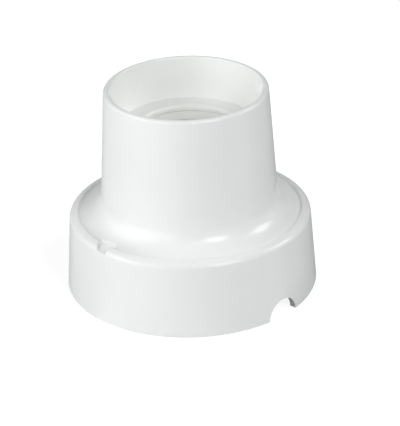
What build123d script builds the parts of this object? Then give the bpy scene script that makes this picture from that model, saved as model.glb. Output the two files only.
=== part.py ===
from build123d import *

import os
from math import cos, radians, sin

# Surface mounted screw lamp holder, in millimetres.
# The origin is the centre of the wall face and +Z points towards the lamp.
# The cable arch is on +X and the drain notch of the shoulder is on -Y.

# Cover: outside form
cover_r = 37.5
shoulder_r = 35.9
shoulder_z = 22.6
wall_gap = 0.2
lip_w = 2.4
lip_rise = 0.85
lip_round = 1.2
lip_inner_round = 0.15
lip_step = 0.7
lip_slant = 0.25
moat_rise = 0.45
sweep_fullness = 1.09
tube_foot_r = 26.6
tube_top_r = 24.07
cover_h = 62.1
rim_w = 1.65
rim_round = 1.05
mouth_round = 0.45

# Cover: inside form
ledge_rise = 27.2
funnel_draft = 2.0
funnel_round = 0.4
entry_clearance = 1.2
entry_round = 0.4
ledge_t = 1.8
tube_wall = 2.2
skirt_wall = 2.0
shoulder_t = 2.8
inner_round = 0.8

# Cover: cut-outs and gripping ribs
arch_r = 5.5
notch_right = 1.9
notch_left = 1.0
notch_flare = 2.2
notch_l = 3.4
notch_drop = 1.45
notch_round = 0.4
rib_count = 5
rib_first_angle = 60.0
rib_sweep = 240.0
rib_w = 1.4
rib_h = 6.0
rib_lift = 0.8
rib_clearance = 0.08

# Base
rib_depth = 1.9
plate_t = 2.4
base_rim_t = 1.8
base_rim_h = 7.0
cable_room = 5.1
boss_wall = 2.4
contact_room = 2.2
core_edge = 0.8
base_round = 0.35
seat_corner = 0.8
guide_round = 0.4
fixing_spacing = 52.0
fixing_slot_w = 4.5
fixing_slot_l = 9.0

# Lamp sleeve, whose bore is the root of the lamp thread
thread_r = 13.35
sleeve_wall = 2.2
thread_step = 0.75
contact_depth = 23.8
thread_stop = 4.5
lead_in = 0.7
sleeve_gap = 0.4
sleeve_round = 0.3
ear_r = 3.8
ear_t = 3.0
ear_overlap = 0.4

# Screws that hold the sleeve
sleeve_screw_r = 1.5
sleeve_head_r = 2.9
sleeve_head_h = 2.0
sleeve_screw_l = 10.0
hole_clearance = 0.3
thread_fit = 0.05
blind_room = 1.0
slot_w = 0.9
slot_depth = 1.1

# Terminals and contacts
live_angle = 140.0
neutral_angle = 220.0
strip_w = 6.0
strip_t = 0.8
strip_slack = 0.3
strip_bend = 0.9
strip_tail = 4.2
strip_corner = 1.0
core_gap = 0.1
collar_r = 2.8
collar_h = 1.4
screw_r = 1.75
head_r = 3.2
head_h = 2.2
head_round = 0.4
screw_l = 8.0
tip_chamfer = 0.4
clamp_w = 8.0
clamp_l = 7.6
clamp_t = 1.0
clamp_corner = 0.8
clamp_travel = 2.4
cover_clearance = 1.4
guide_wall = 1.9
guide_h = 3.0
guide_gap = 0.3
pedestal_l = 10.0

# Spring leaf and its rivet
leaf_w = 5.0
leaf_t = 0.5
leaf_rise = 5.2
leaf_crest_l = 2.8
leaf_tail_l = 2.6
leaf_tail_drop = 1.3
leaf_bend = 1.5
rivet_r = 0.95
rivet_head_r = 1.3
rivet_head_h = 0.6
rivet_pocket = 0.3

# Side tongue on the neutral strip
tongue_gap = 0.7
tongue_h = 17.8
tongue_tip_l = 2.4
tongue_lean = 0.7

# Heights that follow from the sizes above
crest_z = shoulder_z + lip_rise
moat_z = crest_z - lip_step
foot_z = moat_z + moat_rise
notch_z = crest_z - notch_drop
ledge_z = shoulder_z + ledge_rise
ledge_under_z = ledge_z - ledge_t
under_z = shoulder_z - shoulder_t
contact_z = ledge_z - contact_depth
thread_z = contact_z + thread_stop
sleeve_top_z = ledge_under_z - sleeve_gap
core_z = contact_z - leaf_rise - strip_t
step_z = under_z - cover_clearance - clamp_travel - head_h - clamp_t - strip_t
clamp_z = step_z + strip_t
head_z = clamp_z + clamp_t

# Radii and places that follow from the sizes above
crest_r = shoulder_r - lip_w
moat_r = crest_r - lip_slant
sweep_round = sweep_fullness * (moat_r - tube_foot_r)
notch_inner_r = moat_r - notch_l
funnel_foot_r = tube_top_r - rim_w - funnel_draft
entry_r = thread_r + entry_clearance
chamber_r = thread_r - thread_step
core_r = chamber_r - contact_room
base_r = cover_r - skirt_wall - rib_depth
base_rim_in_r = base_r - base_rim_t
flat_x = base_r - cable_room
sleeve_r = thread_r + sleeve_wall
ear_x = sleeve_r + ear_r - ear_overlap
terminal_r = (sleeve_r + base_rim_in_r) / 2
channel_w = clamp_w + 2 * guide_gap
pedestal_w = channel_w + 2 * guide_wall
live_up_r = core_r + core_gap + strip_t / 2
tongue_r = core_r + tongue_gap + strip_t / 2
rivet_x = live_up_r - strip_bend - rivet_head_r - core_gap
leaf_root_r = rivet_x - rivet_head_r - leaf_bend / 2


def skirt_radius(z):
    """Outer radius of the drafted skirt at height z."""
    share = (z - wall_gap) / (shoulder_z - wall_gap)
    return cover_r + (shoulder_r - cover_r) * share


def tube_radius(z):
    """Outer radius of the drafted tube at height z."""
    share = (z - shoulder_z) / (cover_h - shoulder_z)
    return tube_foot_r + (tube_top_r - tube_foot_r) * share


def radial_plane(angle):
    """Upright plane through the axis, with x outwards at this angle and y up."""
    turn = radians(angle)
    return Plane(
        origin=(0, 0, 0),
        x_dir=(cos(turn), sin(turn), 0),
        z_dir=(sin(turn), -cos(turn), 0),
    )


def upright_axis(radius, angle):
    """Axis parallel to Z through a point given by radius and angle."""
    turn = radians(angle)
    return Axis((radius * cos(turn), radius * sin(turn), 0), (0, 0, 1))


def terminal_places(radius):
    """The same radius at both poles, turned to face outwards."""
    return PolarLocations(
        radius, 2, start_angle=live_angle, angular_range=neutral_angle - live_angle, endpoint=True
    )


def section_of(profile):
    """Closed section in the XZ plane, drawn from (point, rounding) corners."""
    with BuildSketch(Plane.XZ) as section:
        with BuildLine():
            FilletPolyline(
                [point for point, corner in profile],
                radius=[corner for point, corner in profile],
                close=True,
            )
        make_face()
    return section.sketch


def round_tail(strip, angle):
    """Rounds the two corners at the outer end of a contact strip."""
    turn = radians(angle)
    tail_r = terminal_r + strip_tail
    upright = strip.edges().filter_by(Axis.Z)
    corners = upright.sort_by_distance((tail_r * cos(turn), tail_r * sin(turn), step_z))[:2]
    fillet(corners, radius=strip_corner)


def one_place(radius, angle):
    """One place at this radius and angle, turned to face outwards."""
    return PolarLocations(radius, 1, start_angle=angle)


# Cover: one moulding with skirt, lip, moat, tube, funnel and ledge
cover_profile = [
    ((cover_r, wall_gap), 0),
    ((shoulder_r, shoulder_z), lip_round),
    ((crest_r, crest_z), lip_inner_round),
    ((moat_r, moat_z), lip_inner_round),
    ((tube_radius(foot_z), foot_z), sweep_round),
    ((tube_top_r, cover_h), rim_round),
    ((tube_top_r - rim_w, cover_h), mouth_round),
    ((funnel_foot_r, ledge_z), funnel_round),
    ((entry_r, ledge_z), entry_round),
    ((entry_r, ledge_under_z), 0),
    ((tube_radius(ledge_under_z) - tube_wall, ledge_under_z), inner_round),
    ((tube_radius(under_z) - tube_wall, under_z), inner_round),
    ((skirt_radius(under_z) - skirt_wall, under_z), inner_round),
    ((cover_r - skirt_wall, wall_gap), 0),
]
with BuildPart() as cover:
    revolve(section_of(cover_profile), axis=Axis.Z)
    rib_top_z = wall_gap + rib_lift + rib_h
    rib_in_r = base_r + rib_clearance
    rib_out_r = skirt_radius(rib_top_z) - skirt_wall / 2
    with BuildSketch(Plane.XY.offset(wall_gap + rib_lift)):
        with PolarLocations(
            (rib_in_r + rib_out_r) / 2,
            rib_count,
            start_angle=rib_first_angle,
            angular_range=rib_sweep,
            endpoint=True,
        ):
            Rectangle(rib_out_r - rib_in_r, rib_w)
    extrude(amount=rib_h)
    # Cable arch through the foot of the skirt
    with BuildSketch(Plane.YZ):
        Circle(arch_r)
    extrude(amount=cover_r, mode=Mode.SUBTRACT)
    # Drain notch from the moat out through the lip, wider on its left inside the lip
    notch_wide = notch_left + notch_flare
    with BuildSketch(Plane.XY.offset(notch_z)) as notch:
        with BuildLine():
            Polyline(
                (notch_right, -cover_r),
                (notch_right, -notch_inner_r),
                (-notch_wide, -notch_inner_r),
                (-notch_wide, -crest_r),
                (-notch_left, -shoulder_r),
                (-notch_left, -cover_r),
                close=True,
            )
        make_face()
        fillet(notch.vertices().group_by(Axis.Y)[-1], radius=notch_round)
    extrude(amount=2 * notch_drop, mode=Mode.SUBTRACT)

# Base: plate, gripping rim, boss with the contact core, pillars and terminal seats
boss_in_r = sleeve_r - boss_wall
core_in_r = core_r - boss_wall
base_profile = [
    ((boss_in_r, 0), 0),
    ((base_r, 0), base_round),
    ((base_r, base_rim_h), base_round),
    ((base_rim_in_r, base_rim_h), 0),
    ((base_rim_in_r, plate_t), 0),
    ((sleeve_r, plate_t), 0),
    ((sleeve_r, step_z), 0),
    ((core_r, step_z), 0),
    ((core_r, core_z - core_edge), 0),
    ((core_r - core_edge, core_z), 0),
    ((0, core_z), 0),
    ((0, core_z - boss_wall), 0),
    ((core_in_r, core_z - boss_wall), 0),
    ((core_in_r, step_z - boss_wall), 0),
    ((boss_in_r, step_z - boss_wall), 0),
]
guide_top_z = step_z + guide_h
with BuildPart() as base:
    revolve(section_of(base_profile), axis=Axis.Z)
    with BuildSketch():
        with Locations((ear_x, 0), (-ear_x, 0)):
            Circle(ear_r)
    extrude(amount=step_z)
    with BuildSketch():
        with terminal_places(terminal_r):
            RectangleRounded(pedestal_l, pedestal_w, seat_corner)
    extrude(amount=guide_top_z)
    with BuildSketch(Plane.XY.offset(step_z)):
        with terminal_places(terminal_r):
            Rectangle(pedestal_l + 2 * guide_wall, channel_w)
    extrude(amount=guide_h, mode=Mode.SUBTRACT)
    guide_tops = base.faces().filter_by(Plane.XY).filter_by_position(
        Axis.Z, guide_top_z - guide_round, guide_top_z + guide_round
    )
    fillet(guide_tops.edges(), radius=guide_round)
    # Room under each terminal for the tapped collar and the screw's end
    collar_room = collar_h + hole_clearance
    screw_room = screw_l - clamp_t - strip_t + blind_room
    with BuildSketch(Plane.XY.offset(step_z)):
        with terminal_places(terminal_r):
            Circle(collar_r + hole_clearance)
    extrude(amount=-collar_room, mode=Mode.SUBTRACT)
    with BuildSketch(Plane.XY.offset(step_z)):
        with terminal_places(terminal_r):
            Circle(screw_r + hole_clearance)
    extrude(amount=-screw_room, mode=Mode.SUBTRACT)
    # Holes for the sleeve's screws
    pilot_depth = sleeve_screw_l - ear_t + blind_room
    with BuildSketch(Plane.XY.offset(step_z)):
        with Locations((ear_x, 0), (-ear_x, 0)):
            Circle(sleeve_screw_r + thread_fit)
    extrude(amount=-pilot_depth, mode=Mode.SUBTRACT)
    # Pocket for the tail of the leaf's rivet
    with BuildSketch(Plane.XY.offset(core_z)):
        with one_place(rivet_x, live_angle):
            Circle(rivet_head_r + rivet_pocket)
    extrude(amount=-(rivet_head_h + rivet_pocket), mode=Mode.SUBTRACT)
    # Oblong holes for the wall screws
    with BuildSketch():
        with Locations((0, fixing_spacing / 2), (0, -fixing_spacing / 2)):
            SlotOverall(fixing_slot_l, fixing_slot_w, rotation=90)
    extrude(amount=plate_t, mode=Mode.SUBTRACT)
    # Flat side that leaves room for the cable behind the arch
    with BuildSketch():
        with Locations((flat_x, 0)):
            Rectangle(cable_room, 2 * base_r, align=(Align.MIN, Align.CENTER))
    extrude(amount=step_z, mode=Mode.SUBTRACT)

# Lamp sleeve: tube with a step at the end of the thread and two screw ears
sleeve_profile = [
    ((chamber_r, step_z), 0),
    ((sleeve_r, step_z), 0),
    ((sleeve_r, sleeve_top_z), sleeve_round),
    ((thread_r + lead_in, sleeve_top_z), 0),
    ((thread_r, sleeve_top_z - lead_in), 0),
    ((thread_r, thread_z), 0),
    ((chamber_r, thread_z), 0),
]
with BuildPart() as lamp_sleeve:
    revolve(section_of(sleeve_profile), axis=Axis.Z)
    with BuildSketch(Plane.XY.offset(step_z)):
        SlotCenterToCenter(2 * ear_x, 2 * ear_r)
        Circle((chamber_r + sleeve_r) / 2, mode=Mode.SUBTRACT)
    extrude(amount=ear_t)
    with BuildSketch(Plane.XY.offset(step_z)):
        with Locations((ear_x, 0), (-ear_x, 0)):
            Circle(sleeve_screw_r + hole_clearance)
    extrude(amount=ear_t, mode=Mode.SUBTRACT)
    # Passages for the two contact strips
    with BuildSketch(Plane.XY.offset(step_z)):
        with terminal_places(sleeve_r):
            Rectangle(2 * (sleeve_r - core_r), strip_w + 2 * strip_slack)
    extrude(amount=strip_t + strip_slack, mode=Mode.SUBTRACT)

# Two screws through the sleeve's ears
ear_top_z = step_z + ear_t
with BuildPart() as sleeve_screws:
    with BuildSketch(Plane.XZ):
        with BuildLine():
            Polyline(
                (ear_x, ear_top_z - sleeve_screw_l),
                (ear_x + sleeve_screw_r - tip_chamfer, ear_top_z - sleeve_screw_l),
                (ear_x + sleeve_screw_r, ear_top_z - sleeve_screw_l + tip_chamfer),
                (ear_x + sleeve_screw_r, ear_top_z),
                (ear_x + sleeve_head_r, ear_top_z),
                (ear_x + sleeve_head_r, ear_top_z + sleeve_head_h - head_round),
                (ear_x + sleeve_head_r - head_round, ear_top_z + sleeve_head_h),
                (ear_x, ear_top_z + sleeve_head_h),
                close=True,
            )
        make_face()
    revolve(axis=upright_axis(ear_x, 0))
    with BuildSketch(Plane.XY.offset(ear_top_z + sleeve_head_h)):
        with Locations((ear_x, 0)):
            Rectangle(slot_w, 2 * sleeve_head_r)
    extrude(amount=-slot_depth, mode=Mode.SUBTRACT)
    mirror(about=Plane.YZ)

# Live strip: terminal, riser along the core and flange that carries the leaf
strip_z = step_z + strip_t / 2
flange_z = core_z + strip_t / 2
with BuildPart() as live_strip:
    with BuildSketch(radial_plane(live_angle)):
        with BuildLine():
            FilletPolyline(
                (terminal_r + strip_tail, strip_z),
                (live_up_r, strip_z),
                (live_up_r, flange_z),
                (leaf_root_r, flange_z),
                radius=strip_bend,
            )
        trace(line_width=strip_t)
    extrude(amount=strip_w / 2, both=True)
    round_tail(live_strip, live_angle)
    with BuildSketch(Plane.XY.offset(step_z)):
        with one_place(terminal_r, live_angle):
            Circle(collar_r)
    extrude(amount=-collar_h)
    with BuildSketch(Plane.XY.offset(step_z + strip_t)):
        with one_place(terminal_r, live_angle):
            Circle(screw_r + thread_fit)
    extrude(amount=-(strip_t + collar_h), mode=Mode.SUBTRACT)
    with BuildSketch(Plane.XY.offset(core_z)):
        with one_place(rivet_x, live_angle):
            Circle(rivet_r + thread_fit)
    extrude(amount=strip_t, mode=Mode.SUBTRACT)

# Neutral strip: terminal and the upright tongue that touches the lamp's shell
tongue_top_z = step_z + tongue_h
with BuildPart() as neutral_strip:
    with BuildSketch(radial_plane(neutral_angle)):
        with BuildLine():
            FilletPolyline(
                (terminal_r + strip_tail, strip_z),
                (tongue_r, strip_z),
                (tongue_r, tongue_top_z - tongue_tip_l),
                (tongue_r - tongue_lean, tongue_top_z),
                radius=strip_bend,
            )
        trace(line_width=strip_t)
    extrude(amount=strip_w / 2, both=True)
    round_tail(neutral_strip, neutral_angle)
    with BuildSketch(Plane.XY.offset(step_z)):
        with one_place(terminal_r, neutral_angle):
            Circle(collar_r)
    extrude(amount=-collar_h)
    with BuildSketch(Plane.XY.offset(step_z + strip_t)):
        with one_place(terminal_r, neutral_angle):
            Circle(screw_r + thread_fit)
    extrude(amount=-(strip_t + collar_h), mode=Mode.SUBTRACT)

# Spring leaf from the live flange up to the lamp's centre contact
root_z = core_z + strip_t + leaf_t / 2
crest_z = contact_z - leaf_t / 2
with BuildPart() as centre_leaf:
    with BuildSketch(radial_plane(live_angle)):
        with BuildLine():
            FilletPolyline(
                (live_up_r, root_z),
                (leaf_root_r, root_z),
                (leaf_crest_l / 2, crest_z),
                (-leaf_crest_l / 2, crest_z),
                (-leaf_crest_l / 2 - leaf_tail_l, crest_z - leaf_tail_drop),
                radius=leaf_bend,
            )
        trace(line_width=leaf_t)
    extrude(amount=leaf_w / 2, both=True)
    with BuildSketch(Plane.XY.offset(core_z + strip_t)):
        with one_place(rivet_x, live_angle):
            Circle(rivet_r + thread_fit)
    extrude(amount=leaf_t, mode=Mode.SUBTRACT)

# Rivet that holds the leaf on the live flange
rivet_low_z = core_z - rivet_head_h
rivet_top_z = core_z + strip_t + leaf_t + rivet_head_h
with BuildPart() as leaf_rivet:
    with BuildSketch(radial_plane(live_angle)):
        with BuildLine():
            Polyline(
                (rivet_x, rivet_low_z),
                (rivet_x + rivet_head_r, rivet_low_z),
                (rivet_x + rivet_head_r, core_z),
                (rivet_x + rivet_r, core_z),
                (rivet_x + rivet_r, rivet_top_z - rivet_head_h),
                (rivet_x + rivet_head_r, rivet_top_z - rivet_head_h),
                (rivet_x + rivet_r, rivet_top_z),
                (rivet_x, rivet_top_z),
                close=True,
            )
        make_face()
    revolve(axis=upright_axis(rivet_x, live_angle))

# Clamp plate and screw of each terminal
terminal_parts = {}
for pole, angle in (("live", live_angle), ("neutral", neutral_angle)):
    with BuildPart() as clamp:
        with BuildSketch(Plane.XY.offset(clamp_z)):
            with one_place(terminal_r, angle):
                RectangleRounded(clamp_l, clamp_w, clamp_corner)
                Circle(screw_r + hole_clearance, mode=Mode.SUBTRACT)
        extrude(amount=clamp_t)
    with BuildPart() as screw:
        with BuildSketch(radial_plane(angle)):
            with BuildLine():
                Polyline(
                    (terminal_r, head_z - screw_l),
                    (terminal_r + screw_r - tip_chamfer, head_z - screw_l),
                    (terminal_r + screw_r, head_z - screw_l + tip_chamfer),
                    (terminal_r + screw_r, head_z),
                    (terminal_r + head_r, head_z),
                    (terminal_r + head_r, head_z + head_h - head_round),
                    (terminal_r + head_r - head_round, head_z + head_h),
                    (terminal_r, head_z + head_h),
                    close=True,
                )
            make_face()
        revolve(axis=upright_axis(terminal_r, angle))
        with BuildSketch(Plane.XY.offset(head_z + head_h)):
            with one_place(terminal_r, angle):
                Rectangle(2 * head_r, slot_w)
        extrude(amount=-slot_depth, mode=Mode.SUBTRACT)
    terminal_parts[f"{pole}_clamp"] = clamp
    terminal_parts[f"{pole}_screw"] = screw

# Label and write every piece
os.makedirs("parts", exist_ok=True)
pieces = {
    "cover": cover,
    "base": base,
    "lamp_sleeve": lamp_sleeve,
    "sleeve_screws": sleeve_screws,
    "live_strip": live_strip,
    "neutral_strip": neutral_strip,
    "centre_leaf": centre_leaf,
    "leaf_rivet": leaf_rivet,
    **terminal_parts,
}
for name, piece in pieces.items():
    piece.part.label = name
    export_step(piece.part, f"parts/{name}.step")
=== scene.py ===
"""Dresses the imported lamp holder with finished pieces, materials and a photo studio."""
from math import atan2, ceil, cos, hypot, pi, radians, sin, tan

import bmesh
import bpy
from bpy.props import FloatProperty, FloatVectorProperty, IntProperty, PointerProperty
from bpy.types import Operator, Panel, PropertyGroup
from mathutils import Matrix, Vector


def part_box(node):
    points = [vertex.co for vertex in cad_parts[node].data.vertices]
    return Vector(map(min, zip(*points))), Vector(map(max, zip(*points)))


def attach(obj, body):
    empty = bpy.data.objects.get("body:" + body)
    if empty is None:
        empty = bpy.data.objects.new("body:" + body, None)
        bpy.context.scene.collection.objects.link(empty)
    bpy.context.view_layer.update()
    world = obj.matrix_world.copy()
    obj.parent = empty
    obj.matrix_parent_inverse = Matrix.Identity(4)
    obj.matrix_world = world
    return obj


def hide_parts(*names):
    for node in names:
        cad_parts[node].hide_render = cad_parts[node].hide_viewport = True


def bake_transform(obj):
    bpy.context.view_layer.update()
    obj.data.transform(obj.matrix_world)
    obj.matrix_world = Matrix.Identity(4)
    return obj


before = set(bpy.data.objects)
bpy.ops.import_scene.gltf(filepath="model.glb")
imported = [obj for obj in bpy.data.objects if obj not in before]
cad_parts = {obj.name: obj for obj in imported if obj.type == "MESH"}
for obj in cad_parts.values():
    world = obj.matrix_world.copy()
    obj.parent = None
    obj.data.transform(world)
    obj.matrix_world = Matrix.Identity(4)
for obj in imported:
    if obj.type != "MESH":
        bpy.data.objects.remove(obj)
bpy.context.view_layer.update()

bl_info = {
    "name": "Surface Mount Lamp Holder",
    "version": (1, 0, 0),
    "blender": (4, 5, 0),
    "location": "3D View > Sidebar > Lamp Holder",
    "description": "Builds the finished pieces of a surface mounted screw lamp holder",
    "category": "Object",
}

MM = 0.001
PHOTO_WIDTH = 400
PHOTO_HEIGHT = 426
ARC_STEP = radians(9)
SHARP_ANGLE = radians(34)
SOFT_ANGLE = radians(40)
SOFT_STEPS = 2
SEAM = 0.001 * MM
WELD = 0.002 * MM
POLES = {"live": radians(140), "neutral": radians(220)}
RIB_TURNS = [radians(turn) for turn in (60, 120, 180, 240, 300)]

# Room around moving pieces, room of a close fit, overrun of cutters, and reach of a thread
GAP = 0.3 * MM
FIT = 0.05 * MM
PAST = 1 * MM
ON_WALL = 0.02 * MM

# Steps around round shapes, from small holes up to the sleeve
PIN_STEPS = 32
BORE_STEPS = 40
POST_STEPS = 48
SCREW_STEPS = 56
ARCH_STEPS = 96
PLATE_STEPS = 144
SLEEVE_STEPS = 180
THREAD_STEPS = 22
SCREW_THREAD_STEPS = 8

# Softened edges and small roundings of the inner pieces
SEAT_CORNER = 0.8 * MM
SLEEVE_EDGE = 0.3 * MM
SLEEVE_LIFT = 0.3 * MM
STRIP_EDGE = 0.12 * MM
LEAF_EDGE = 0.1 * MM
CLAMP_EDGE = 0.14 * MM
COLLAR_EDGE = 0.15 * MM
RIVET_EDGE = 0.2 * MM
RIVET_DOME = 0.35 * MM
SCREW_TIP = 0.4 * MM
THREAD_START = 0.5 * MM
HEAD_EDGE = 0.12 * MM
HEAD_RIM = 0.4 * MM
RUN_OUT = 0.1 * MM
LEAF_STEP = 0.4 * MM

# Shares of a thread's pitch, of an ear's half width and of an oblong hole's radius
SCREW_THREAD_DEPTH = 0.45
SLEEVE_FADE = 0.25
EAR_ROUND = 0.9
NEARLY_ROUND = 0.9999

# Where noise turns from its low to its high tone or value
TONE_RANGE = (0.32, 0.68)
VALUE_RANGE = (0.3, 0.7)
MOULDED_SPECULAR = 0.36

# Floor, card, lights and camera of the studio
FLOOR_HALF = 3
FLOOR_DROP = 0.05 * MM
CARD_DROP = 0.03 * MM
FLOOR_SHADE = (0.3, 0.3, 0.3, 1)
FLOOR_GLOW = 0.89
FLOOR_MOTTLE = 0.985
FLOOR_ROUGHNESS = 0.85
FLOOR_SPECULAR = 0.1
CARD_ROUGHNESS = 0.9
CARD_SLOPE = 2
CARD_MIDDLE = 0.5
LIGHT_DISTANCE = 1.2
WIDE_LIGHT = 1.0
NARROW_LIGHT = 0.45
SENSOR = 36
NEAR_CLIP = 10 * MM
FAR_CLIP = 20


def metres(title, about, value):
    """A length in metres."""
    return FloatProperty(name=title, description=about, default=value, unit="LENGTH", precision=5)


def length(title, about, value):
    """A length, stated in millimetres and kept in metres."""
    return metres(title, about, value * MM)


def power(title, about, watts):
    """The power of a light."""
    return FloatProperty(name=title, description=about, default=watts, unit="POWER")


def angle(title, about, degrees):
    """An angle, stated in degrees and kept in radians."""
    return FloatProperty(name=title, description=about, default=radians(degrees), unit="ROTATION")


def share(title, about, value):
    """A number from 0 to 1."""
    return FloatProperty(
        name=title, description=about, default=value, min=0, max=1, subtype="FACTOR"
    )


def colour(title, about, value):
    """A linear colour."""
    return FloatVectorProperty(
        name=title, description=about, default=value, min=0, max=1, size=3, subtype="COLOR"
    )


class CoverSettings(PropertyGroup):
    """Sizes of the white cover"""

    foot_radius: length("Foot radius", "Outer radius of the skirt at the wall", 37.5)
    wall_gap: metres("Wall gap", "Gap between the skirt and the wall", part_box("cover")[0].z)
    shoulder_radius: length("Shoulder radius", "Outer radius of the lip", 35.9)
    shoulder_height: length(
        "Shoulder height", "Height of the lip's outer edge above the wall", 22.6
    )
    lip_width: length("Lip width", "Width of the raised lip", 2.4)
    lip_rise: length("Lip rise", "How far the lip climbs from its outer to its inner edge", 0.85)
    lip_round: length("Lip rounding", "Rounding of the lip's outer edge", 1.9)
    lip_inner_round: length("Inner lip rounding", "Rounding of the lip's inner edge", 0.3)
    lip_step: length("Lip step", "Drop from the lip's inner edge to the moat", 0.5)
    lip_slant: length("Lip slant", "How far that drop leans inwards", 0.7)
    moat_rise: length("Moat rise", "How far the moat's floor climbs towards the tube", 0.45)
    sweep_round: length("Sweep rounding", "Rounding that sweeps the moat up into the tube", 6.8)
    tube_foot_radius: length("Tube foot radius", "Outer radius of the tube at the lip", 26.6)
    tube_top_radius: length("Tube top radius", "Outer radius of the tube at the mouth", 24.07)
    height: metres("Height", "Height of the mouth above the wall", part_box("cover")[1].z)
    rim_width: length("Rim width", "Width of the mouth's rim", 1.65)
    rim_round: length("Rim rounding", "Rounding of the rim's outer edge", 1.05)
    mouth_round: length("Mouth rounding", "Rounding of the rim's inner edge", 0.45)
    funnel_draft: length("Funnel draft", "How much the funnel narrows on its way down", 2.0)
    funnel_round: length("Funnel rounding", "Rounding between funnel and ledge", 0.4)
    ledge_height: length("Ledge height", "Height of the ledge above the wall", 49.8)
    ledge_thickness: length("Ledge thickness", "Thickness of the ledge", 1.8)
    entry_radius: length("Entry radius", "Radius of the ledge's opening", 14.55)
    entry_round: length("Entry rounding", "Rounding of the ledge's opening", 1.1)
    tube_wall: length("Tube wall", "Thickness of the tube's wall", 2.2)
    skirt_wall: length("Skirt wall", "Thickness of the skirt's wall", 2.0)
    under_height: length("Underside height", "Height of the shoulder's underside", 19.8)
    inner_round: length("Inner rounding", "Rounding of the corners inside", 0.8)
    arch_radius: length("Arch radius", "Radius of the cable arch", 5.5)
    notch_right: length(
        "Notch right", "Reach of the drain notch to its right at the outside", 0.85
    )
    notch_left: length("Notch left", "Reach of the drain notch to its left at the outside", 2.3)
    notch_flare: length(
        "Notch flare", "How much further left the notch reaches inside the lip", 2.5
    )
    notch_lean: length(
        "Notch lean", "How much further right the notch reaches at its inner end", 0.6
    )
    notch_inner: length("Notch start", "Distance of the notch's inner end from the axis", 32.0)
    notch_rise: length(
        "Notch rise", "How far the notch's floor climbs towards its inner end", 0.95
    )
    notch_ease: length("Notch ease", "How far the notch's inner end leans back at its top", 4.0)
    notch_drop: length("Notch depth", "Depth of the drain notch below the lip's crest", 1.9)
    notch_round: length("Notch rounding", "Rounding of the notch's inner corners", 0.4)
    rib_inner: length("Rib reach", "Radius that the gripping ribs reach inwards", 33.68)
    rib_width: length("Rib width", "Width of a gripping rib", 1.4)
    rib_low: length("Rib foot", "Height where the gripping ribs begin", 1.0)
    rib_high: length("Rib top", "Height where the gripping ribs end", 7.0)
    segments: IntProperty(
        name="Segments", description="Steps around the cover", default=288, min=24
    )


class BaseSettings(PropertyGroup):
    """Sizes of the wall plate"""

    radius: length("Radius", "Outer radius of the plate", 33.6)
    plate: length("Plate thickness", "Thickness of the plate", 2.4)
    rim_inner: length("Rim inner radius", "Inner radius of the gripping rim", 31.8)
    rim_height: length("Rim height", "Height of the gripping rim", 7.0)
    boss_radius: length("Boss radius", "Outer radius of the boss under the sleeve", 15.55)
    step_height: length("Step height", "Height of the boss, pillars and terminal seats", 12)
    core_radius: length("Core radius", "Radius of the core inside the sleeve", 10.4)
    core_height: metres("Core height", "Height of the core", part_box("base")[1].z)
    core_edge: length("Core edge", "Bevel of the core's edge", 0.8)
    wall: length("Boss wall", "Wall of the hollow boss", 2.4)
    flat: length("Flat side", "Distance of the flat side from the axis", 28.5)
    edge_round: length("Edge rounding", "Rounding of the moulded edges", 0.35)
    seat_length: length("Seat length", "Length of a terminal seat along its radius", 10)
    seat_width: length("Seat width", "Width of a terminal seat", 12.4)
    channel: length("Channel width", "Width of the channel that guides the clamp", 8.6)
    guide: length("Guide height", "Height of the guides beside the clamp", 3)
    slot_length: length("Slot length", "Length of a fixing hole", 9)
    slot_width: length("Slot width", "Width of a fixing hole", 4.5)
    slot_place: length("Slot place", "Distance of a fixing hole from the axis", 26)


class SleeveSettings(PropertyGroup):
    """Sizes of the threaded lamp sleeve and its screws"""

    outer: length("Outer radius", "Outer radius of the sleeve", 15.55)
    root: length("Thread root", "Radius at the root of the thread", 13.35)
    depth: length("Thread depth", "Depth of the thread from root to crest", 1.1)
    pitch: length("Thread pitch", "Rise of the thread per turn", 3.62)
    lead_in: length("Lead-in", "Bevel at the mouth of the thread", 1.1)
    chamber: length("Chamber radius", "Radius of the chamber below the thread", 12.6)
    foot: metres("Foot height", "Height of the sleeve's foot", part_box("lamp_sleeve")[0].z)
    stop: length("Thread end", "Height where the thread ends", 30.5)
    top: metres(
        "Top height", "Height of the sleeve's mouth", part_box("lamp_sleeve")[1].z + SLEEVE_LIFT
    )
    ear_place: length("Ear place", "Distance of an ear's hole from the axis", 18.95)
    ear_radius: length("Ear radius", "Radius of an ear", 3.8)
    ear_height: length("Ear thickness", "Thickness of an ear", 3.0)
    screw_radius: length("Screw radius", "Radius of the shank", 1.5)
    screw_length: length("Screw length", "Length of the shank", 10)
    screw_pitch: length("Screw pitch", "Pitch of the screw's thread", 0.8)
    head_radius: length("Head radius", "Radius of the screw's head", 2.9)
    head_height: length("Head height", "Height of the screw's head", 2.0)
    slot_width: length("Slot width", "Width of the driver's slot", 0.9)
    slot_depth: length("Slot depth", "Depth of the driver's slot", 1.1)


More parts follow.
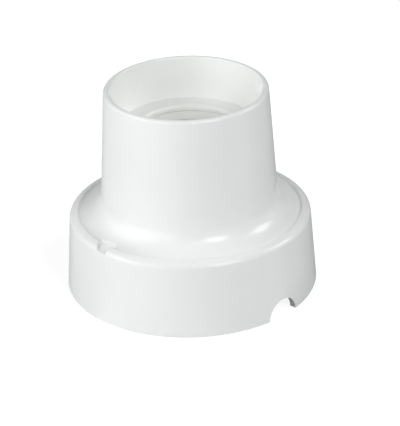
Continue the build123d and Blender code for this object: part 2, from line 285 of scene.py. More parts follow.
class ContactSettings(PropertyGroup):
    """Sizes of the contacts and terminals"""

    strip_width: length("Strip width", "Width of the contact strips", 6.0)
    strip_thickness: length("Strip thickness", "Thickness of the contact strips", 0.8)
    strip_bend: length("Strip bend", "Bend radius at the middle of a strip", 0.9)
    strip_height: length("Strip height", "Height of the terminals' seats", 12)
    strip_end: length("Strip end", "Distance of a strip's end from the axis", 27.875)
    flange_height: length("Flange height", "Height of the core that carries the leaf", 20)
    riser: length("Riser place", "Distance of the live riser from the axis", 10.9)
    tongue: length("Tongue place", "Distance of the side tongue from the axis", 11.5)
    tongue_top: length("Tongue top", "Height of the tongue's tip", 29.8)
    tongue_tip: length("Tongue tip", "Length of the tongue's leaning tip", 2.4)
    tongue_lean: length("Tongue lean", "How far the tip leans to the axis", 0.7)
    collar_radius: length("Collar radius", "Radius of the tapped collar", 2.8)
    collar_height: length("Collar height", "Height of the tapped collar", 1.4)
    leaf_width: length("Leaf width", "Width of the spring leaf", 5.0)
    leaf_thickness: length("Leaf thickness", "Thickness of the spring leaf", 0.5)
    leaf_bend: length("Leaf bend", "Bend radius of the spring leaf", 1.5)
    leaf_root: length("Leaf root", "Distance of the leaf's first bend from the axis", 6.55)
    leaf_crest: length("Leaf crest", "Height of the leaf's crest", 26)
    crest_length: length("Crest length", "Length of the flat crest", 2.8)
    tail_length: length("Tail length", "Length of the drooping tail", 2.6)
    tail_drop: length("Tail drop", "How far the tail droops", 1.3)
    rivet_place: length("Rivet place", "Distance of the rivet from the axis", 8.6)
    rivet_radius: length("Rivet radius", "Radius of the rivet's shank", 0.95)
    rivet_head: length("Rivet head radius", "Radius of the rivet's heads", 1.3)
    rivet_rise: length("Rivet head height", "Height of the rivet's heads", 0.6)
    terminal: length("Terminal place", "Distance of a terminal from the axis", 23.675)
    clamp_length: length("Clamp length", "Length of a clamp plate along its radius", 7.6)
    clamp_width: length("Clamp width", "Width of a clamp plate", 8.0)
    clamp_thickness: length("Clamp thickness", "Thickness of a clamp plate", 1.0)
    clamp_corner: length("Clamp corner", "Rounding of the plate's corners", 0.8)
    screw_radius: length("Screw radius", "Radius of a terminal screw", 1.75)
    screw_length: length("Screw length", "Length of a terminal screw", 8.0)
    screw_pitch: length("Screw pitch", "Pitch of a terminal screw", 0.6)
    head_radius: length("Head radius", "Radius of a terminal screw's head", 3.2)
    head_height: length("Head height", "Height of a terminal screw's head", 2.2)
    slot_width: length("Slot width", "Width of the driver's slot", 0.9)
    slot_depth: length("Slot depth", "Depth of the driver's slot", 1.1)


class FinishSettings(PropertyGroup):
    """Colours and gloss of the finishes"""

    cover_colour: colour("Cover", "White of the glossy cover", (0.937, 0.94, 0.908))
    cover_gloss: share("Cover roughness", "Roughness of the cover", 0.2)
    # Painted shade: the sleeve's off-white is set darker than the cover's, standing in for the
    # shade deep in the mouth where it sits
    sleeve_tone_with_painted_shade: colour("Sleeve", "Off-white of the lamp sleeve", (0.82, 0.825, 0.775))
    sleeve_gloss: share("Sleeve roughness", "Roughness of the sleeve", 0.36)
    base_colour: colour("Base", "Off-white of the wall plate", (0.70, 0.71, 0.68))
    base_gloss: share("Base roughness", "Roughness of the wall plate", 0.48)
    brass_colour: colour("Brass", "Brass of the contact strips", (0.72, 0.52, 0.22))
    bronze_colour: colour("Bronze", "Bronze of the spring leaf", (0.66, 0.40, 0.20))
    zinc_colour: colour("Zinc plating", "Plating of clamps and screws", (0.62, 0.63, 0.63))


class StudioSettings(PropertyGroup):
    """Camera and light of the studio"""

    azimuth: angle("Azimuth", "Turn of the camera from the front towards the cable arch", 45.5)
    elevation: angle("Elevation", "Height of the camera above the wall", 26.565)
    roll: angle("Roll", "Tilt of the camera", -2.007)
    distance: length("Distance", "Distance from the camera to its target", 600)
    target: length("Target height", "Height on the axis that the camera looks at", 31.04)
    lens: FloatProperty(
        name="Lens", description="Focal length in millimetres", default=171.02, unit="CAMERA"
    )
    aim_x: FloatProperty(name="Aim X", description="Pixel where the target shows", default=189.149)
    aim_y: FloatProperty(name="Aim Y", description="Pixel where the target shows", default=182.946)
    key_power: power("Key", "Power of the large light in front on the left", 6.9)
    left_power: power("Left", "Power of the large light beside it", 5.7)
    front_power: power("Front", "Power of the light near the camera", 5.5)
    side_power: power("Side", "Power of the light on the right", 4.4)
    sky: share("Sky", "Strength of the even light from all around", 0.0)
    light_colour: colour("Light", "Slightly cool white of the lights", (0.952, 0.972, 1.0))
    floor_colour: colour("Floor", "Colour of the pale floor", (0.66, 0.66, 0.66))
    # Painted light and shade: the card's left colour is lighter and its right colour darker, as the
    # key light from the left would leave them
    painted_lit_card_side: colour(
        "Card left", "Left side of the grey card that the gloss shows", (0.72, 0.72, 0.72)
    )
    painted_shaded_card_side: colour(
        "Card right", "Right side of the grey card that the gloss shows", (0.25, 0.25, 0.25)
    )
    card_back: colour("Card back", "Upright part of the card", (0.42, 0.42, 0.42))
    card_start: metres("Card start", "Where the card begins, measured back from the axis", -0.025)
    card_depth: metres("Card depth", "How far behind the axis the card turns up", 0.5)
    card_height: metres("Card height", "Height and half the width of the card", 0.9)


def rounded(corners, closed=True):
    """Outline through corners given as x, z and rounding, with an arc at each rounded corner."""
    points = []
    last = len(corners) - 1
    for place, (x, z, radius) in enumerate(corners):
        here = Vector((x, z))
        if not radius or (not closed and place in (0, last)):
            points.append(here)
            continue
        back = (Vector(corners[place - 1][:2]) - here).normalized()
        ahead = (Vector(corners[(place + 1) % len(corners)][:2]) - here).normalized()
        half = back.angle(ahead) / 2
        centre = here + (back + ahead).normalized() * radius / sin(half)
        start = here + back * radius / tan(half) - centre
        end = here + ahead * radius / tan(half) - centre
        sweep = atan2(start.cross(end), start.dot(end))
        steps = max(2, ceil(abs(sweep) / ARC_STEP))
        for step in range(steps + 1):
            points.append(centre + Matrix.Rotation(sweep * step / steps, 2) @ start)
    return points


def new_piece(name, work):
    """Turns a finished bmesh into an object of the scene."""
    bmesh.ops.recalc_face_normals(work, faces=work.faces)
    mesh = bpy.data.meshes.new(name)
    work.to_mesh(mesh)
    work.free()
    piece = bpy.data.objects.new(name, mesh)
    bpy.context.collection.objects.link(piece)
    return piece


def turned(name, outline, segments, place=(0, 0)):
    """Closed outline of radius and height turned about an upright axis at this place."""
    work = bmesh.new()
    ring = [work.verts.new((r, 0, z)) for r, z in outline]
    edges = [work.edges.new((a, b)) for a, b in zip(ring, ring[1:] + ring[:1])]
    bmesh.ops.spin(
        work, geom=ring + edges, cent=(0, 0, 0), axis=(0, 0, 1), angle=2 * pi, steps=segments,
        use_merge=True,
    )
    bmesh.ops.remove_doubles(work, verts=work.verts, dist=SEAM)
    bmesh.ops.translate(work, verts=work.verts, vec=(*place, 0))
    return new_piece(name, work)


def rod(name, radius, low, high, segments, place=(0, 0)):
    """Plain upright rod."""
    return turned(name, [(0, low), (radius, low), (radius, high), (0, high)], segments, place)


def prism(name, outline, low, high, frame_matrix=None):
    """Closed outline in x and y drawn out from one height to another."""
    work = bmesh.new()
    floor = work.faces.new([work.verts.new((x, y, low)) for x, y in outline])
    drawn = bmesh.ops.extrude_face_region(work, geom=[floor])
    tops = [item for item in drawn["geom"] if isinstance(item, bmesh.types.BMVert)]
    bmesh.ops.translate(work, verts=tops, vec=(0, 0, high - low))
    if frame_matrix:
        bmesh.ops.transform(work, matrix=frame_matrix, verts=work.verts)
    return new_piece(name, work)


def rectangle(x_low, x_high, y_low, y_high, corner=0.0):
    """Outline of a rectangle with rounded corners."""
    return rounded([
        (x_low, y_low, corner), (x_high, y_low, corner),
        (x_high, y_high, corner), (x_low, y_high, corner),
    ])


def capsule(x, y_low, y_high, radius):
    """Outline of an oblong hole along y."""
    return rectangle(x - radius, x + radius, y_low, y_high, corner=radius * NEARLY_ROUND)


def shape_by(piece, tool, operation):
    """Adds or cuts another solid, which is used up."""
    modifier = piece.modifiers.new(operation.lower(), "BOOLEAN")
    modifier.object = tool
    modifier.operation = operation
    modifier.solver = "EXACT"
    apply_modifiers(piece)
    bpy.data.meshes.remove(tool.data)


def add(piece, tool):
    """Joins a solid to the piece."""
    shape_by(piece, tool, "UNION")


def cut(piece, tool):
    """Takes a solid out of the piece."""
    shape_by(piece, tool, "DIFFERENCE")


def apply_modifiers(piece):
    """Keeps the shape that the piece's modifiers give."""
    graph = bpy.context.evaluated_depsgraph_get()
    shaped = bpy.data.meshes.new_from_object(piece.evaluated_get(graph))
    old = piece.data
    piece.modifiers.clear()
    piece.data = shaped
    shaped.name = piece.name
    bpy.data.meshes.remove(old)


def soften(piece, width):
    """Rounds the piece's sharp edges."""
    modifier = piece.modifiers.new("soften", "BEVEL")
    modifier.width = width
    modifier.segments = SOFT_STEPS
    modifier.limit_method = "ANGLE"
    modifier.angle_limit = SOFT_ANGLE
    modifier.use_clamp_overlap = True
    apply_modifiers(piece)


def wind_thread(piece, root, depth, pitch, low, high, fade, place=(0, 0)):
    """Moves the plain wall of a bore or shank into a knuckle thread, fading at both ends."""
    for vertex in piece.data.vertices:
        x, y = vertex.co.x - place[0], vertex.co.y - place[1]
        z = vertex.co.z
        radius = hypot(x, y)
        if abs(radius - root) > ON_WALL or not low <= z <= high:
            continue
        fading = min(1, (z - low) / fade, (high - z) / fade)
        turns = z / pitch - atan2(y, x) / (2 * pi)
        moved = radius - depth * fading * (0.5 - 0.5 * cos(2 * pi * turns))
        vertex.co.x = place[0] + x * moved / radius
        vertex.co.y = place[1] + y * moved / radius


def heights(low, high, step):
    """Even heights from one to another, about this step apart."""
    count = ceil(abs(high - low) / step)
    return [low + (high - low) * place / count for place in range(count + 1)]


def settle(piece, material, body, slot, *nodes):
    """Shades the piece, gives it its finish, and puts it on its body in place of its nodes."""
    if not piece.data.polygons:
        raise RuntimeError(f"{piece.name} has no faces left after its cuts")
    work = bmesh.new()
    work.from_mesh(piece.data)
    bmesh.ops.remove_doubles(work, verts=work.verts, dist=WELD)
    bmesh.ops.dissolve_degenerate(work, edges=work.edges, dist=WELD)
    work.to_mesh(piece.data)
    work.free()
    piece.data.shade_smooth()
    piece.data.set_sharp_from_angle(angle=SHARP_ANGLE)
    piece.data.materials.clear()
    piece.data.materials.append(material)
    if body:
        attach(piece, body)
    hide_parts(*nodes)


def radial(pole_angle):
    """Turn about the axis that brings +X to this angle."""
    return Matrix.Rotation(pole_angle, 4, "Z")


def spot(pole, distance):
    """Place in plan at this distance from the axis, towards a pole."""
    return (radial(POLES[pole]) @ Vector((distance, 0, 0)))[:2]


def put_node(tree, kind, **values):
    """A shader node with its named settings and inputs."""
    node = tree.nodes.new(kind)
    for key, value in values.items():
        if key in node.inputs:
            node.inputs[key].default_value = value
        else:
            setattr(node, key, value)
    return node


def start_finish(name):
    """An empty finish with its shader and the object's own coordinates."""
    found = bpy.data.materials.get(name)
    if found:
        return found, None, None, None
    finish = bpy.data.materials.new(name)
    finish.use_nodes = True
    tree = finish.node_tree
    shader = tree.nodes["Principled BSDF"]
    coordinates = tree.nodes.new("ShaderNodeTexCoord").outputs["Object"]
    return finish, tree, shader, coordinates


def noise_on(tree, coordinates, scale, detail=2.0, stretch=None):
    """Cloudy noise with so many waves per metre, stretched if asked."""
    source = coordinates
    if stretch:
        mapping = put_node(tree, "ShaderNodeMapping")
        mapping.inputs["Scale"].default_value = stretch
        tree.links.new(source, mapping.inputs["Vector"])
        source = mapping.outputs["Vector"]
    noise = put_node(tree, "ShaderNodeTexNoise", Scale=scale, Detail=detail)
    tree.links.new(source, noise.inputs["Vector"])
    return noise.outputs["Fac"]


def tone_between(tree, factor, dark, light):
    """A colour that drifts between two tones."""
    ramp = tree.nodes.new("ShaderNodeValToRGB")
    ramp.color_ramp.elements[0].position = TONE_RANGE[0]
    ramp.color_ramp.elements[0].color = (*dark, 1)
    ramp.color_ramp.elements[1].position = TONE_RANGE[1]
    ramp.color_ramp.elements[1].color = (*light, 1)
    tree.links.new(factor, ramp.inputs["Fac"])
    return ramp.outputs["Color"]


def range_between(tree, factor, low, high):
    """A number that drifts between two values."""
    spread = tree.nodes.new("ShaderNodeMapRange")
    spread.inputs["From Min"].default_value = VALUE_RANGE[0]
    spread.inputs["From Max"].default_value = VALUE_RANGE[1]
    spread.inputs["To Min"].default_value = low
    spread.inputs["To Max"].default_value = high
    tree.links.new(factor, spread.inputs["Value"])
    return spread.outputs["Result"]


def bump_from(tree, shader, height, strength, distance):
    """Fine relief from a height."""
    bump = put_node(tree, "ShaderNodeBump", Strength=strength, Distance=distance)
    tree.links.new(height, bump.inputs["Height"])
    tree.links.new(bump.outputs["Normal"], shader.inputs["Normal"])


def moulded_finish(name, tint, roughness, drift, grain, relief):
    """Moulded plastic with drifting tone, uneven gloss and a faint skin."""
    finish, tree, shader, coordinates = start_finish(name)
    if tree is None:
        return finish
    dark = [channel * (1 - drift) for channel in tint]
    light = [min(1, channel * (1 + drift)) for channel in tint]
    clouds = noise_on(tree, coordinates, scale=55, detail=3)
    tree.links.new(tone_between(tree, clouds, dark, light), shader.inputs["Base Color"])
    handling = noise_on(tree, coordinates, scale=120, detail=4)
    gloss = range_between(tree, handling, low=roughness * 0.88, high=roughness * 1.14)
    tree.links.new(gloss, shader.inputs["Roughness"])
    skin = noise_on(tree, coordinates, scale=grain)
    bump_from(tree, shader, skin, strength=relief, distance=0.02 * MM)
    shader.inputs["Specular IOR Level"].default_value = MOULDED_SPECULAR
    return finish


def metal_finish(name, tint, roughness, stretch, tarnish):
    """Rolled or plated metal with fine draw lines and a little tarnish."""
    finish, tree, shader, coordinates = start_finish(name)
    if tree is None:
        return finish
    dark = [channel * (1 - tarnish) for channel in tint]
    clouds = noise_on(tree, coordinates, scale=320, detail=5)
    tree.links.new(tone_between(tree, clouds, dark, tint), shader.inputs["Base Color"])
    lines = noise_on(tree, coordinates, scale=900, detail=3, stretch=stretch)
    gloss = range_between(tree, lines, low=roughness * 0.75, high=roughness * 1.3)
    tree.links.new(gloss, shader.inputs["Roughness"])
    bump_from(tree, shader, lines, strength=0.15, distance=0.01 * MM)
    shader.inputs["Metallic"].default_value = 1
    return finish


def screw_finish(f):
    """Zinc plating that all screws share."""
    return metal_finish(
        "plated_screw_zinc", f.zinc_colour, roughness=0.3, stretch=(1, 1, 6), tarnish=0.12
    )


def cover_outline(c):
    """Section of the cover from the skirt's foot over the tube and funnel to the inside."""

    def skirt(z):
        return c.foot_radius + (c.shoulder_radius - c.foot_radius) * (z - c.wall_gap) / (
            c.shoulder_height - c.wall_gap
        )

    def tube(z):
        return c.tube_foot_radius + (c.tube_top_radius - c.tube_foot_radius) * (
            z - c.shoulder_height
        ) / (c.height - c.shoulder_height)

    crest_z = c.shoulder_height + c.lip_rise
    crest_r = c.shoulder_radius - c.lip_width
    moat_z = crest_z - c.lip_step
    foot_z = moat_z + c.moat_rise
    ledge_under = c.ledge_height - c.ledge_thickness
    funnel_foot = c.tube_top_radius - c.rim_width - c.funnel_draft
    return rounded([
        (c.foot_radius, c.wall_gap, 0),
        (c.shoulder_radius, c.shoulder_height, c.lip_round),
        (crest_r, crest_z, c.lip_inner_round),
        (crest_r - c.lip_slant, moat_z, c.lip_inner_round),
        (tube(foot_z), foot_z, c.sweep_round),
        (c.tube_top_radius, c.height, c.rim_round),
        (c.tube_top_radius - c.rim_width, c.height, c.mouth_round),
        (funnel_foot, c.ledge_height, c.funnel_round),
        (c.entry_radius, c.ledge_height, c.entry_round),
        (c.entry_radius, ledge_under, 0),
        (tube(ledge_under) - c.tube_wall, ledge_under, c.inner_round),
        (tube(c.under_height) - c.tube_wall, c.under_height, c.inner_round),
        (skirt(c.under_height) - c.skirt_wall, c.under_height, c.inner_round),
        (c.foot_radius - c.skirt_wall, c.wall_gap, 0),
    ])


class HOLDER_OT_cover(Operator):
    """Build the white cover with its lip, moat, tube, funnel, arch and notch"""

    bl_idname = "holder.cover"
    bl_label = "Cover"

    def execute(self, context):
        c = context.scene.holder_cover
        f = context.scene.holder_finish
        piece = turned("white_cover", cover_outline(c), c.segments)
        half = c.rib_width / 2
        rib_plan = rectangle(c.rib_inner, c.foot_radius - c.skirt_wall / 2, -half, half)
        for turn in RIB_TURNS:
            add(piece, prism("rib", rib_plan, c.rib_low, c.rib_high, radial(turn)))
        arch = rod("arch", c.arch_radius, 0, 2 * c.foot_radius, ARCH_STEPS)
        arch.data.transform(Matrix.Rotation(pi / 2, 4, "Y"))
        cut(piece, arch)
        crest = c.shoulder_radius - c.lip_width
        wide = c.notch_left + c.notch_flare
        low = c.shoulder_height + c.lip_rise - c.notch_drop
        notch = prism("notch", rounded([
            (c.notch_right, -c.foot_radius, 0),
            (c.notch_right + c.notch_lean, -c.notch_inner, c.notch_round),
            (-wide, -c.notch_inner, c.notch_round), (-wide, -crest, 0),
            (-c.notch_left, -c.shoulder_radius, 0), (-c.notch_left, -c.foot_radius, 0),
        ]), low, low + 2 * c.notch_drop)
        climb = c.notch_rise / (c.foot_radius - c.notch_inner)
        for corner in notch.data.vertices:
            upper = corner.co.z > low + c.notch_drop
            corner.co.z += climb * (c.foot_radius + corner.co.y)
            if upper and corner.co.y > -(crest + c.notch_inner) / 2:
                corner.co.y += c.notch_ease
        cut(piece, notch)
        finish = moulded_finish(
            "glossy_white_moulding", f.cover_colour, f.cover_gloss,
            drift=0.012, grain=420, relief=0.12,
        )
        settle(piece, finish, "cover", "white_moulding", "cover")
        return {"FINISHED"}


class HOLDER_OT_base(Operator):
    """Build the wall plate with its rim, boss, pillars, terminal seats and holes"""

    bl_idname = "holder.base"
    bl_label = "Base"

    def execute(self, context):
        b = context.scene.holder_base
        s = context.scene.holder_sleeve
        k = context.scene.holder_contacts
        f = context.scene.holder_finish
        boss_in = b.boss_radius - b.wall
        core_in = b.core_radius - b.wall
        under_step = b.step_height - b.wall
        under_core = b.core_height - b.wall
        edge = b.edge_round
        piece = turned("wall_plate", rounded([
            (boss_in, 0, edge),
            (b.radius, 0, edge),
            (b.radius, b.rim_height, edge),
            (b.rim_inner, b.rim_height, edge),
            (b.rim_inner, b.plate, edge),
            (b.boss_radius, b.plate, edge),
            (b.boss_radius, b.step_height, 0),
            (b.core_radius, b.step_height, edge),
            (b.core_radius, b.core_height - b.core_edge, edge),
            (b.core_radius - b.core_edge, b.core_height, edge),
            (0, b.core_height, 0),
            (0, under_core, 0),
            (core_in, under_core, edge),
            (core_in, under_step, edge),
            (boss_in, under_step, edge),
        ]), PLATE_STEPS)
        root = b.plate / 2
        for side in (-1, 1):
            pillar = turned("pillar", rounded([
                (0, root, 0), (s.ear_radius, root, 0),
                (s.ear_radius, b.step_height, edge), (0, b.step_height, 0),
            ]), POST_STEPS, (side * s.ear_place, 0))
            add(piece, pillar)
        for pole, pole_angle in POLES.items():
            turn = radial(pole_angle)
            low = k.terminal - b.seat_length / 2
            high = k.terminal + b.seat_length / 2
            half = b.seat_width / 2
            seat = prism(
                "seat", rectangle(low, high, -half, half, SEAT_CORNER),
                root, b.step_height + b.guide, turn,
            )
            gap = b.channel / 2
            over = b.step_height + 2 * b.guide
            plan = rectangle(low - b.guide, high + b.guide, -gap, gap)
            cut(seat, prism("channel", plan, b.step_height, over, turn))
            soften(seat, edge)
            add(piece, seat)
            nut_room = k.collar_radius + GAP
            screw_room = k.screw_radius + GAP
            nut_low = b.step_height - k.collar_height - GAP
            screw_low = (
                b.step_height - k.screw_length + k.clamp_thickness + k.strip_thickness - PAST
            )
            well = turned("well", [
                (0, screw_low), (screw_room, screw_low), (screw_room, nut_low),
                (nut_room, nut_low), (nut_room, over), (0, over),
            ], POST_STEPS, spot(pole, k.terminal))
            cut(piece, well)
        for side in (-1, 1):
            place = (side * s.ear_place, 0)
            low = b.step_height + s.ear_height - s.screw_length - PAST
            cut(piece, rod("pilot", s.screw_radius + FIT, low, b.core_height, PIN_STEPS, place))
            middle, half = side * b.slot_place, b.slot_length / 2
            plan = capsule(0, middle - half, middle + half, b.slot_width / 2)
            cut(piece, prism("fixing_slot", plan, -b.plate, 2 * b.plate))
        low = b.core_height - k.rivet_rise - GAP
        cut(piece, rod(
            "pocket", k.rivet_head + GAP, low, b.core_height + b.plate, PIN_STEPS,
            spot("live", k.rivet_place),
        ))
        plan = rectangle(b.flat, 2 * b.radius, -b.radius, b.radius)
        cut(piece, prism("flat", plan, -b.plate, 2 * b.rim_height))
        finish = moulded_finish(
            "satin_base_moulding", f.base_colour, f.base_gloss,
            drift=0.025, grain=700, relief=0.3,
        )
        settle(piece, finish, "base", "base_moulding", "base")
        return {"FINISHED"}


class HOLDER_OT_lamp_sleeve(Operator):
    """Build the sleeve that carries the lamp's thread"""

    bl_idname = "holder.lamp_sleeve"
    bl_label = "Lamp Sleeve"

    def execute(self, context):
        s = context.scene.holder_sleeve
        b = context.scene.holder_base
        k = context.scene.holder_contacts
        f = context.scene.holder_finish
        bore_top = s.top - s.lead_in
        edge = SLEEVE_EDGE
        wall = rounded([
            (s.chamber, s.foot, 0), (s.outer, s.foot, 0), (s.outer, s.top, edge),
            (s.root + s.lead_in, s.top, edge / 3),
        ], closed=False)
        wall += [Vector((s.root, z)) for z in heights(bore_top, s.stop, s.pitch / THREAD_STEPS)]
        wall.append(Vector((s.chamber, s.stop)))
        piece = turned("thread_sleeve", wall, SLEEVE_STEPS)
        wind_thread(piece, s.root, s.depth, s.pitch, s.stop, bore_top, s.pitch * SLEEVE_FADE)
        half, ear_top = s.ear_radius, s.foot + s.ear_height
        for side in (-1, 1):
            middle = side * s.ear_place
            tip = side * (s.ear_place + s.ear_radius)
            start = side * (s.outer + s.chamber) / 2
            plan = rectangle(min(start, tip), max(start, tip), -half, half, half * EAR_ROUND)
            ear = prism("ear", plan, s.foot, ear_top)
            plan = rectangle(min(start, middle), max(start, middle), -half, half)
            add(ear, prism("neck", plan, s.foot, ear_top))
            soften(ear, edge)
            add(piece, ear)
            high = s.foot + 2 * s.ear_height
            cut(piece, rod(
                "bore", s.screw_radius + GAP, s.foot - edge, high, PIN_STEPS, (middle, 0)
            ))
        half = k.strip_width / 2 + GAP
        plan = rectangle(b.core_radius, 2 * s.outer - b.core_radius, -half, half)
        high = s.foot + k.strip_thickness + GAP
        for pole_angle in POLES.values():
            cut(piece, prism("passage", plan, s.foot - edge, high, radial(pole_angle)))
        # The sleeve's darker tone is painted shade of the deep mouth
        finish = moulded_finish(
            "thread_sleeve_moulding", f.sleeve_tone_with_painted_shade, f.sleeve_gloss,
            drift=0.02, grain=600, relief=0.2,
        )
        settle(piece, finish, "base", "sleeve_moulding", "lamp_sleeve")
        return {"FINISHED"}


def slotted_screw(name, place, turn, top, sizes):
    """Screw with a slotted cheese head, a rounded rim and a wound thread."""
    shank, pitch, head = sizes.screw_radius, sizes.screw_pitch, sizes.head_radius
    seat = top - sizes.head_height
    tip = seat - sizes.screw_length
    outline = [Vector((0, tip)), Vector((shank - SCREW_TIP, tip)), Vector((shank, tip + SCREW_TIP))]
    threaded = heights(tip + THREAD_START, seat - RUN_OUT, pitch / SCREW_THREAD_STEPS)
    outline += [Vector((shank, z)) for z in threaded]
    outline += rounded([
        (shank, seat, 0), (head, seat, HEAD_EDGE), (head, top, HEAD_RIM), (0, top, 0),
    ], closed=False)
    piece = turned(name, outline, SCREW_STEPS, place)
    depth = SCREW_THREAD_DEPTH * pitch
    wind_thread(piece, shank, depth, pitch, tip + SCREW_TIP, seat - RUN_OUT, pitch, place)
    matrix = Matrix.Translation((*place, 0)) @ radial(turn)
    half = sizes.slot_width / 2
    plan = rectangle(-2 * head, 2 * head, -half, half)
    cut(piece, prism("groove", plan, top - sizes.slot_depth, top + sizes.slot_depth, matrix))
    return piece


class HOLDER_OT_sleeve_screws(Operator):
    """Build the two screws that hold the sleeve"""

    bl_idname = "holder.sleeve_screws"
    bl_label = "Sleeve Screws"

    def execute(self, context):
        s = context.scene.holder_sleeve
        f = context.scene.holder_finish
        finish = screw_finish(f)
        top = s.foot + s.ear_height + s.head_height
        for name, side in (("sleeve_screw_left", -1), ("sleeve_screw_right", 1)):
            piece = slotted_screw(name, (side * s.ear_place, 0), pi / 2, top, s)
            settle(piece, finish, "base", "plated_screw", "sleeve_screws")
        return {"FINISHED"}


def bent_strip(name, route, width, thickness, pole_angle, finest=None):
    """Strip of even thickness along a bent route of radius, height and bend radius."""
    line = rounded(route, closed=False)
    if finest:
        fine = [line[0]]
        for here, there in zip(line, line[1:]):
            count = ceil((there - here).length / finest)
            fine += [here.lerp(there, step / count) for step in range(1, count + 1)]
        line = fine
    sides = ([], [])
    for place, point in enumerate(line):
        before = line[max(place - 1, 0)]
        after = line[min(place + 1, len(line) - 1)]
        run = (after - before).normalized()
        normal = Vector((-run.y, run.x))
        for side, sign in zip(sides, (1, -1)):
            side.append(point + normal * sign * thickness / 2)
    work = bmesh.new()
    (near_a, near_b), (far_a, far_b) = [
        [[work.verts.new((p.x, y, p.y)) for p in side] for side in sides]
        for y in (-width / 2, width / 2)
    ]
    for step in range(len(line) - 1):
        for one, other in ((near_a, far_a), (near_b, far_b), (near_a, near_b), (far_a, far_b)):
            work.faces.new((one[step], one[step + 1], other[step + 1], other[step]))
    for step in (0, -1):
        work.faces.new((near_a[step], near_b[step], far_b[step], far_a[step]))
    bmesh.ops.transform(work, matrix=radial(pole_angle), verts=work.verts)
    return new_piece(name, work)


class HOLDER_OT_contact_strips(Operator):
    """Build the live strip, the neutral strip with its tongue, and the rivet"""

    bl_idname = "holder.contact_strips"
    bl_label = "Contact Strips"

    def execute(self, context):
        k = context.scene.holder_contacts
        f = context.scene.holder_finish
        brass = metal_finish(
            "rolled_strip_brass", f.brass_colour, roughness=0.28, stretch=(1, 1, 12), tarnish=0.18
        )
        half = k.strip_thickness / 2
        seat = k.strip_height + half
        bend = k.strip_bend
        routes = {
            "live": [
                (k.strip_end, seat, 0), (k.riser, seat, bend),
                (k.riser, k.flange_height + half, bend), (k.leaf_root, k.flange_height + half, 0),
            ],
            "neutral": [
                (k.strip_end, seat, 0), (k.tongue, seat, bend),
                (k.tongue, k.tongue_top - k.tongue_tip, bend),
                (k.tongue - k.tongue_lean, k.tongue_top, 0),
            ],
        }
        for pole, route in routes.items():
            piece = bent_strip(
                f"{pole}_contact_strip", route, k.strip_width, k.strip_thickness, POLES[pole]
            )
            soften(piece, STRIP_EDGE)
            place = spot(pole, k.terminal)
            low = k.strip_height - k.collar_height
            collar = turned("collar", rounded([
                (0, low, 0), (k.collar_radius, low, COLLAR_EDGE),
                (k.collar_radius, seat, 0), (0, seat, 0),
            ]), POST_STEPS, place)
            add(piece, collar)
            cut(piece, rod(
                "bore", k.screw_radius + FIT, low - half, k.flange_height, BORE_STEPS, place
            ))
            if pole == "live":
                cut(piece, rod(
                    "pin", k.rivet_radius + FIT, k.flange_height - half, k.flange_height + 4 * half,
                    PIN_STEPS, spot(pole, k.rivet_place),
                ))
            settle(piece, brass, "base", "brass_strip", f"{pole}_strip")
        rivet_brass = metal_finish(
            "rivet_head_brass", f.brass_colour, roughness=0.22, stretch=(1, 1, 1), tarnish=0.1
        )
        leaf_top = k.flange_height + k.strip_thickness + k.leaf_thickness
        low = k.flange_height - k.rivet_rise
        high = leaf_top + k.rivet_rise
        rivet = turned("leaf_rivet_head", rounded([
            (0, low, 0), (k.rivet_head, low, RIVET_EDGE), (k.rivet_head, k.flange_height, 0),
            (k.rivet_radius, k.flange_height, 0), (k.rivet_radius, leaf_top, 0),
            (k.rivet_head, leaf_top, 0), (k.rivet_radius, high, RIVET_DOME), (0, high, 0),
        ]), BORE_STEPS, spot("live", k.rivet_place))
        settle(rivet, rivet_brass, "base", "rivet_brass", "leaf_rivet")
        return {"FINISHED"}


class HOLDER_OT_centre_leaf(Operator):
    """Build the spring leaf that meets the lamp's centre contact"""

    bl_idname = "holder.centre_leaf"
    bl_label = "Centre Leaf"

    def execute(self, context):
        k = context.scene.holder_contacts
        f = context.scene.holder_finish
        half = k.leaf_thickness / 2
        root = k.flange_height + k.strip_thickness + half
        crest = k.leaf_crest - half
        tip = k.crest_length / 2
        piece = bent_strip("spring_leaf", [
            (k.riser, root, 0),
            (k.leaf_root, root, k.leaf_bend),
            (tip, crest, k.leaf_bend),
            (-tip, crest, k.leaf_bend),
            (-tip - k.tail_length, crest - k.tail_drop, 0),
        ], k.leaf_width, k.leaf_thickness, POLES["live"], finest=LEAF_STEP)
        soften(piece, LEAF_EDGE)
        cut(piece, rod(
            "pin", k.rivet_radius + FIT, k.flange_height, k.leaf_crest, PIN_STEPS,
            spot("live", k.rivet_place),
        ))
        bronze = metal_finish(
            "spring_leaf_bronze", f.bronze_colour, roughness=0.26, stretch=(1, 1, 10), tarnish=0.2
        )
        settle(piece, bronze, None, "bronze_leaf", "centre_leaf")
        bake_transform(piece)
        return {"FINISHED"}


class HOLDER_OT_terminals(Operator):
    """Build the clamp plate and the screw of each terminal"""

    bl_idname = "holder.terminals"
    bl_label = "Terminals"

    def execute(self, context):
        k = context.scene.holder_contacts
        f = context.scene.holder_finish
        plated = metal_finish(
            "plated_clamp_zinc", f.zinc_colour, roughness=0.34, stretch=(8, 1, 1), tarnish=0.15
        )
        zinc = screw_finish(f)
        low = k.strip_height + k.strip_thickness
        high = low + k.clamp_thickness
        half_l, half_w = k.clamp_length / 2, k.clamp_width / 2
        plan = rectangle(
            k.terminal - half_l, k.terminal + half_l, -half_w, half_w, k.clamp_corner
        )
        for pole, pole_angle in POLES.items():
            place = spot(pole, k.terminal)
            clamp = prism(f"{pole}_clamp_plate", plan, low, high, radial(pole_angle))
            soften(clamp, CLAMP_EDGE)
            cut(clamp, rod(
                "bore", k.screw_radius + GAP, low - PAST, high + PAST, BORE_STEPS, place
            ))
            settle(clamp, plated, f"{pole}_clamp", "plated_clamp", f"{pole}_clamp")
            screw = slotted_screw(
                f"{pole}_terminal_screw", place, pole_angle, high + k.head_height, k
            )
            settle(screw, zinc, f"{pole}_screw", "plated_screw", f"{pole}_screw")
        return {"FINISHED"}


